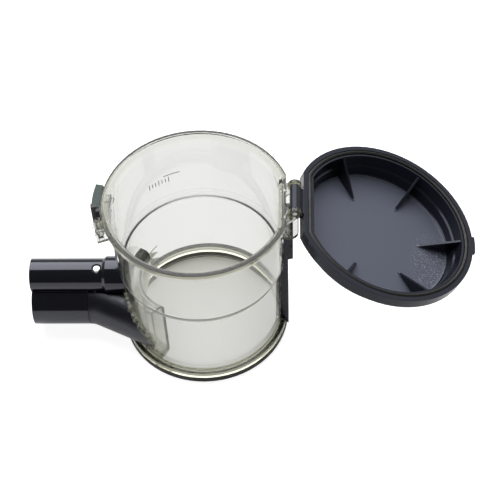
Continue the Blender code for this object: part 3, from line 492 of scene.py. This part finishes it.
def clear_finish(name, looks, tint, ior, painted_hood_shade=False):
    """Clear moulded plastic, which bends what is behind it and takes a tint from its thickness.

    Its rim, its step and its base flange have their own tint or gloss. A piece with painted hood
    shade gets a dark tint in its hood, painted shade that stands in for the dark refraction there.
    Shadow rays pass straight through it, so that the lamps light what stands inside.
    """
    material, tree, shader = new_material(name)
    place = place_node(tree)
    parts = tree.nodes.new("ShaderNodeSeparateXYZ")
    tree.links.new(place, parts.inputs[0])
    depth, height = parts.outputs["Y"], parts.outputs["Z"]
    high = spread(tree, height, 0.0, 1.0, over=RIM_HEIGHTS)
    far = spread(tree, axis_distance(tree, place), 0.0, 1.0, over=RIM_DISTANCES)
    at_rim = scalar(tree, "MULTIPLY", high, far)
    at_base = spread(tree, height, 1.0, 0.0, over=BASE_HEIGHTS)
    at_step = scalar(tree, "COMPARE", height, looks.step_height, STEP_HALF)

    colour = two_tone(tree, at_base, tint, looks.base_tint)
    colour = two_tone(tree, at_rim, colour, looks.rim_tint)
    # Painted shade: the guide's hood is tinted dark where refraction makes it look dark.
    if painted_hood_shade:
        behind = spread(tree, depth, 0.0, 1.0, over=HOOD_DEPTHS)
        above = spread(tree, height, 0.0, 1.0, over=HOOD_HEIGHTS)
        in_painted_hood_shade = scalar(tree, "MULTIPLY", behind, above)
        colour = two_tone(tree, in_painted_hood_shade, colour, looks.hood_painted_shade)
    tree.links.new(colour, shader.inputs["Base Color"])

    haze = noise(tree, place, scale=70.0, detail=5.0)
    gloss = spread(tree, haze, looks.roughness, looks.roughness + looks.scuff, over=(0.45, 0.8))
    gloss = two_levels(tree, at_step, gloss, looks.step_roughness)
    thick = scalar(tree, "ADD", at_rim, at_base, clamp=True)
    gloss = two_levels(tree, thick, gloss, looks.thick_roughness)
    tree.links.new(gloss, shader.inputs["Roughness"])

    waves = noise(tree, place, scale=42.0, detail=2.0, stretch=(1.0, 1.0, 0.45))
    tree.links.new(bump(tree, waves, 0.00003, strength=0.5), shader.inputs["Normal"])
    shader.inputs["Transmission Weight"].default_value = 1.0
    shader.inputs["IOR"].default_value = ior

    through = tree.nodes.new("ShaderNodeBsdfTransparent")
    through.inputs["Color"].default_value = (*SHADOW_TINT, 1.0)
    rays = tree.nodes.new("ShaderNodeLightPath")
    mix = tree.nodes.new("ShaderNodeMixShader")
    tree.links.new(rays.outputs["Is Shadow Ray"], mix.inputs["Fac"])
    tree.links.new(shader.outputs["BSDF"], mix.inputs[1])
    tree.links.new(through.outputs["BSDF"], mix.inputs[2])
    output = tree.nodes["Material Output"]
    tree.links.new(mix.outputs["Shader"], output.inputs["Surface"])
    inner = tree.nodes.new("ShaderNodeVolumeAbsorption")
    inner.inputs["Color"].default_value = (*looks.depth_tint, 1.0)
    inner.inputs["Density"].default_value = looks.depth_density
    tree.links.new(inner.outputs["Volume"], output.inputs["Volume"])
    return material


def metal_finish(name, colour, roughness):
    """Bright metal with fine drawn lines and a little unevenness in its gloss."""
    material, tree, shader = new_material(name)
    drawn = noise(tree, place_node(tree), scale=900.0, detail=3.0, stretch=(1.0, 0.2, 1.0))
    dark = [c * 0.85 for c in colour]
    tree.links.new(two_tone(tree, drawn, dark, colour), shader.inputs["Base Color"])
    uneven = spread(tree, drawn, roughness * 0.8, roughness * 1.35)
    tree.links.new(uneven, shader.inputs["Roughness"])
    shader.inputs["Metallic"].default_value = 1.0
    return material


# ---- Operators ----


class DUSTBIN_OT_clear_cup(bpy.types.Operator):
    """Dresses the clear cup and the inlet guide inside it"""

    bl_idname = "dustbin.clear_cup"
    bl_label = "Clear cup"

    def execute(self, context):
        looks = context.scene.dustbin_clear
        clear = clear_finish("clear_polycarbonate", looks, looks.tint, CLEAR_IOR)
        refined(
            "dust_cup", "cup_clear", clear, "bin", looks.edge_round, angle=12.0
        )
        painted_hood_shade = clear_finish("guide_polycarbonate", looks, looks.guide_tint, GUIDE_IOR, painted_hood_shade=True)
        refined("inlet_guide", "guide_clear", painted_hood_shade, "bin", angle=20.0)
        return {"FINISHED"}


class DUSTBIN_OT_weld_bead(bpy.types.Operator):
    """Lays the lumpy weld bead round the inlet port and the clouded teeth on the guide's mouth"""

    bl_idname = "dustbin.weld_bead"
    bl_label = "Weld bead and teeth"

    def execute(self, context):
        looks = context.scene.dustbin_clear
        cloudy = weld_finish("clouded_weld", looks)
        link("weld_bead", weld_bead_mesh(looks), cloudy, "bin")
        strips = [
            (142.0 + 2.6 * (i * 5 % 4), 153.2, 0.0236 + 0.0016 * i, 0.0004) for i in range(13)
        ]
        teeth = strips_mesh("guide_teeth", strips, looks.teeth_radius, half=0.0003)
        link("guide_teeth", teeth, cloudy, "bin")
        return {"FINISHED"}


def weld_bead_mesh(looks):
    """A lumpy tube along the line where a cylinder round the duct's axis meets the cup's wall.

    The axis starts at A and runs along d, level. n is the level direction across it. A point
    q = A + reach * (cos t * n + sin t * z) slides along d by
    s = -(q.d) - sqrt((q.d)^2 - |q|^2 + R^2) until it meets the wall of radius R, with lengths taken
    in plan. The tube's radius swings with sin 23t and sin 41t, and falls to nothing at both ends.
    """
    start = np.array([-0.0711, -0.0027, 0.0204])
    turn, wall = math.radians(26.0), 0.0523
    rings, sides = 150, 12
    up = (0.0, 0.0, 1.0)
    d = np.array([math.cos(turn), -math.sin(turn), 0.0])
    n = np.array([math.sin(turn), math.cos(turn), 0.0])
    t = np.radians(np.linspace(75.0, 210.0, rings))
    q = start + looks.bead_reach * (np.outer(np.cos(t), n) + np.outer(np.sin(t), up))
    along = q @ d
    s = -along - np.sqrt(along**2 - (q[:, :2] ** 2).sum(axis=1) + wall**2)
    path = q + s[:, None] * d

    ahead = np.gradient(path, axis=0)
    ahead /= np.linalg.norm(ahead, axis=1)[:, None]
    out = path * (1.0, 1.0, 0.0)
    out -= (out * ahead).sum(axis=1)[:, None] * ahead
    out /= np.linalg.norm(out, axis=1)[:, None]
    side = np.cross(ahead, out)

    share = np.linspace(0.0, 1.0, rings)
    ends = np.sqrt(np.clip(np.minimum(share, 1 - share) * 14, 0.003, 1.0))
    radius = looks.bead_round * ends * (1 + 0.24 * np.sin(23 * t) + 0.16 * np.sin(41 * t + 1.0))
    a = np.linspace(0.0, 2 * math.pi, sides, endpoint=False)[None, :, None]
    ring = np.cos(a) * out[:, None, :] + np.sin(a) * side[:, None, :]
    points = path[:, None, :] + radius[:, None, None] * ring
    mesh = mesh_from("weld_bead", points, tube_faces(rings, sides))
    mesh.shade_smooth()
    return mesh


def strips_mesh(name, strips, radius, half):
    """Thin closed strips on a cylinder round the cup's axis.

    Each strip runs from one angle to another at a height z. Its points are (r cos a, r sin a, h),
    where a goes from start to end in equal steps, and r = radius +- half and
    h = z +- height / 2 go round the four corners of its section.
    """
    steps, corners = 12, 4
    points, faces = [], []
    for start, end, z, height in strips:
        a = np.radians(np.linspace(start, end, steps))[:, None]
        r = radius + np.array([-half, half, half, -half])[None, :]
        h = z + height * np.array([-0.5, -0.5, 0.5, 0.5])[None, :]
        grid = np.broadcast_arrays(r * np.cos(a), r * np.sin(a), h)
        count = len(points) * steps * corners
        faces += [[v + count for v in face][::-1] for face in tube_faces(steps, corners)]
        points.append(np.stack(grid, axis=-1).reshape(-1, 3))
    return mesh_from(name, np.concatenate(points), faces)


class DUSTBIN_OT_lid(bpy.types.Operator):
    """Dresses the dished lid"""

    bl_idname = "dustbin.lid"
    bl_label = "Lid"

    def execute(self, context):
        dark = lid_finish("lid_moulding", context.scene.dustbin_plastics)
        refined("lid", "lid_moulded", dark, "lid")
        return {"FINISHED"}


class DUSTBIN_OT_socket(bpy.types.Operator):
    """Dresses the wand socket, the inlet duct and the contact carrier"""

    bl_idname = "dustbin.socket"
    bl_label = "Wand socket"

    def execute(self, context):
        looks = context.scene.dustbin_plastics
        shared = {"edge": looks.edge_round, "ior": SOCKET_IOR, "gleam": SOCKET_GLEAM}
        gloss = moulded_finish(
            "socket_gloss", looks.socket, looks.socket_roughness, grain=0.000002, **shared
        )
        refined("wand_socket", "socket_gloss", gloss, "bin")
        rubbed = moulded_finish(
            "duct_rubbed", looks.socket, looks.duct_roughness, grain=0.000006, **shared
        )
        refined("inlet_duct", "inlet_duct_rubbed", rubbed, "bin")
        block = moulded_finish("contact_black", (0.010, 0.010, 0.011), 0.45)
        refined("contact_block", "contact_carrier", block, "bin")
        return {"FINISHED"}


class DUSTBIN_OT_latch(bpy.types.Operator):
    """Dresses the green latch button and its black claw"""

    bl_idname = "dustbin.latch"
    bl_label = "Lid latch"

    def execute(self, context):
        looks = context.scene.dustbin_plastics
        edge = looks.edge_round
        green = moulded_finish(
            "button_green", looks.button, looks.button_roughness, edge=edge * 2, ior=SOFT_IOR
        )
        black = moulded_finish("claw_black", looks.claw, looks.claw_roughness, edge=edge)
        refined("latch_button", "button_moulded", green, "latch")
        refined("latch_claw", "claw_moulded", black, "latch")
        return {"FINISHED"}


class DUSTBIN_OT_release(bpy.types.Operator):
    """Dresses the release bar"""

    bl_idname = "dustbin.release"
    bl_label = "Release bar"

    def execute(self, context):
        looks = context.scene.dustbin_plastics
        black = moulded_finish(
            "bar_black",
            looks.bar,
            looks.bar_roughness,
            edge=looks.edge_round,
            ior=SOFT_IOR,
            gleam=looks.gleam,
        )
        refined("release_bar", "bar_moulded", black, "release")
        return {"FINISHED"}


class DUSTBIN_OT_seals(bpy.types.Operator):
    """Dresses the two rubber seals"""

    bl_idname = "dustbin.seals"
    bl_label = "Seals"

    def execute(self, context):
        looks = context.scene.dustbin_rubber_and_metal
        rubber = moulded_finish(
            "seal_black_rubber", looks.rubber, looks.rubber_roughness, grain=0.00003
        )
        refined("base_seal", "base_ring_rubber", rubber, "bin")
        refined("lid_seal", "lid_ring_rubber", rubber, "lid")
        return {"FINISHED"}


class DUSTBIN_OT_metal(bpy.types.Operator):
    """Dresses the pin, the springs, the screw and the contact pins"""

    bl_idname = "dustbin.metal"
    bl_label = "Small metal parts"

    def execute(self, context):
        looks = context.scene.dustbin_rubber_and_metal
        steel = metal_finish("bright_steel", looks.steel, looks.steel_roughness)
        brass = metal_finish("bright_brass", looks.brass, looks.steel_roughness)
        refined("hinge_pin", "pin_steel", steel, "bin")
        refined("socket_screw", "screw_steel", steel, "bin")
        latch_coil = refined("latch_spring", "latch_coil", steel, "bin")
        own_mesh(latch_coil)
        release_coil = refined("release_spring", "release_coil", steel, "bin")
        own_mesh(release_coil)
        for side in ("near", "far"):
            refined(f"contact_pin_{side}", f"contact_brass_{side}", brass, "bin")
        return {"FINISHED"}


class DUSTBIN_OT_level_mark(bpy.types.Operator):
    """Prints the plain level line and its ticks on the cup's inner wall"""

    bl_idname = "dustbin.level_mark"
    bl_label = "Level mark"

    def execute(self, context):
        looks = context.scene.dustbin_clear
        ink = moulded_finish("level_ink", looks.mark_colour, 0.5)
        tick_middle = looks.mark_height - 0.0043
        strips = [(106.7, 119.0, looks.mark_height, looks.mark_width)]
        for i in range(7):
            start = 115.0 + i * 2.6
            strips.append((start, start + 0.45, tick_middle, 0.0034 if i % 3 else 0.0046))
        mesh = strips_mesh("level_mark", strips, looks.mark_radius, half=0.00008)
        link("level_mark", mesh, ink, "bin")
        return {"FINISHED"}


class DUSTBIN_OT_studio(bpy.types.Operator):
    """Sets the floor, the soft light and the camera"""

    bl_idname = "dustbin.studio"
    bl_label = "Studio"

    def execute(self, context):
        looks = context.scene.dustbin_studio
        context.scene.view_settings.view_transform = "Standard"
        build_floor(looks)
        build_world(looks)
        soft_lamp(
            "Key", looks.key_power, size=1.15, place=(-0.05, 0.50, 0.88), target=(0.0, 0.0, 0.05)
        )
        soft_lamp(
            "Sheen", looks.sheen_power, size=0.7, place=(0.85, 0.75, 0.78), target=(0.12, 0.0, 0.08)
        )
        build_camera(looks)
        return {"FINISHED"}


def background_lift(tree, outside_painted_shade_ring):
    """Adds up how far the floor is lifted to white for the kinds of ray that LIFTS names. Inside the
    base ring the lift is lower for camera and glossy rays, a painted shadow, and higher for rays
    through the glass, painted light.
    """
    rays = tree.nodes.new("ShaderNodeLightPath")
    total = 0.0
    for ray, (within, beyond) in LIFTS.items():
        level = spread(tree, outside_painted_shade_ring, within, beyond, over=(0.0, 1.0))
        total = scalar(tree, "MULTIPLY_ADD", rays.outputs[ray], level, total)
    return total


def build_floor(looks):
    half, below = 4.0, -0.0002
    corners = ((-half, -half), (half, -half), (half, half), (-half, half))
    points = np.array([(x, y, below) for x, y in corners])
    mesh = mesh_from("studio_floor", points, [[0, 1, 2, 3]])
    material, tree, shader = new_material("studio_floor")
    shader.inputs["Base Color"].default_value = (*looks.floor, 1.0)
    shader.inputs["Roughness"].default_value = 0.9
    shader.inputs["Specular IOR Level"].default_value = 0.1
    shader.inputs["Emission Color"].default_value = (*WHITE, 1.0)
    # Painted shade and light: the floor's lift changes inside the base ring, lower there for camera
    # and glossy rays and higher for rays through the glass.
    outside_painted_shade_ring = spread(tree, axis_distance(tree, place_node(tree)), 0.0, 1.0, over=PAINTED_SHADE_RING_EDGE)
    tree.links.new(background_lift(tree, outside_painted_shade_ring), shader.inputs["Emission Strength"])
    mesh.materials.append(material)
    floor = bpy.data.objects.new("studio_floor", mesh)
    bpy.context.scene.collection.objects.link(floor)


def build_world(looks):
    world = bpy.data.worlds.new("studio_world")
    bpy.context.scene.world = world
    world.use_nodes = True
    tree = world.node_tree
    background = tree.nodes["Background"]
    background.inputs["Color"].default_value = (*WHITE, 1.0)
    direction = tree.nodes.new("ShaderNodeSeparateXYZ")
    tree.links.new(
        tree.nodes.new("ShaderNodeTexCoord").outputs["Generated"], direction.inputs[0]
    )
    soft = spread(
        tree, direction.outputs["Y"], looks.front_light, looks.world_light, over=WORLD_TURN
    )
    rays = tree.nodes.new("ShaderNodeLightPath").outputs
    behind_glass = two_levels(tree, rays["Is Transmission Ray"], soft, WORLD_THROUGH_GLASS)
    strength = two_levels(tree, rays["Is Camera Ray"], behind_glass, WORLD_TO_CAMERA)
    tree.links.new(strength, background.inputs["Strength"])


def soft_lamp(name, power, size, place, target):
    lamp = bpy.data.lights.new(name, "AREA")
    lamp.shape = "SQUARE"
    lamp.size = size
    lamp.energy = power
    obj = bpy.data.objects.new(name, lamp)
    bpy.context.scene.collection.objects.link(obj)
    obj.location = place
    obj.rotation_euler = (Vector(target) - Vector(place)).to_track_quat("-Z", "Y").to_euler()


def build_camera(looks):
    camera = bpy.data.cameras.new("Photo view")
    camera.lens = looks.lens
    camera.sensor_width = 36.0
    camera.clip_start = 0.02
    obj = bpy.data.objects.new("Photo view", camera)
    bpy.context.scene.collection.objects.link(obj)
    right = Vector(CAMERA_RIGHT).normalized()
    ahead = Vector(CAMERA_AHEAD)
    ahead = (ahead - right * ahead.dot(right)).normalized()
    turn = Matrix((right, right.cross(ahead), -ahead)).transposed().to_4x4()
    obj.matrix_world = Matrix.Translation(looks.camera_place) @ turn
    bpy.context.scene.camera = obj


OPERATORS = (
    DUSTBIN_OT_clear_cup,
    DUSTBIN_OT_weld_bead,
    DUSTBIN_OT_lid,
    DUSTBIN_OT_socket,
    DUSTBIN_OT_latch,
    DUSTBIN_OT_release,
    DUSTBIN_OT_seals,
    DUSTBIN_OT_metal,
    DUSTBIN_OT_level_mark,
    DUSTBIN_OT_studio,
)


class DUSTBIN_PT_panel(bpy.types.Panel):
    """Lists the steps that dress the dust bin"""

    bl_idname = "DUSTBIN_PT_panel"
    bl_label = "Dust Bin"
    bl_space_type = "VIEW_3D"
    bl_region_type = "UI"
    bl_category = "Dust Bin"

    def draw(self, context):
        for operator in OPERATORS:
            self.layout.operator(operator.bl_idname)


GROUPS = {
    "dustbin_clear": DustBinClear,
    "dustbin_plastics": DustBinPlastics,
    "dustbin_rubber_and_metal": DustBinRubberAndMetal,
    "dustbin_studio": DustBinStudio,
}


def register():
    for name, group in GROUPS.items():
        bpy.utils.register_class(group)
        setattr(bpy.types.Scene, name, bpy.props.PointerProperty(type=group))
    for cls in (*OPERATORS, DUSTBIN_PT_panel):
        bpy.utils.register_class(cls)


def unregister():
    for cls in (DUSTBIN_PT_panel, *reversed(OPERATORS)):
        bpy.utils.unregister_class(cls)
    for name, group in reversed(GROUPS.items()):
        delattr(bpy.types.Scene, name)
        bpy.utils.unregister_class(group)


def main():
    register()
    for operator in OPERATORS:
        group, step = operator.bl_idname.split(".")
        getattr(getattr(bpy.ops, group), step)()


if __name__ == "__main__":
    main()
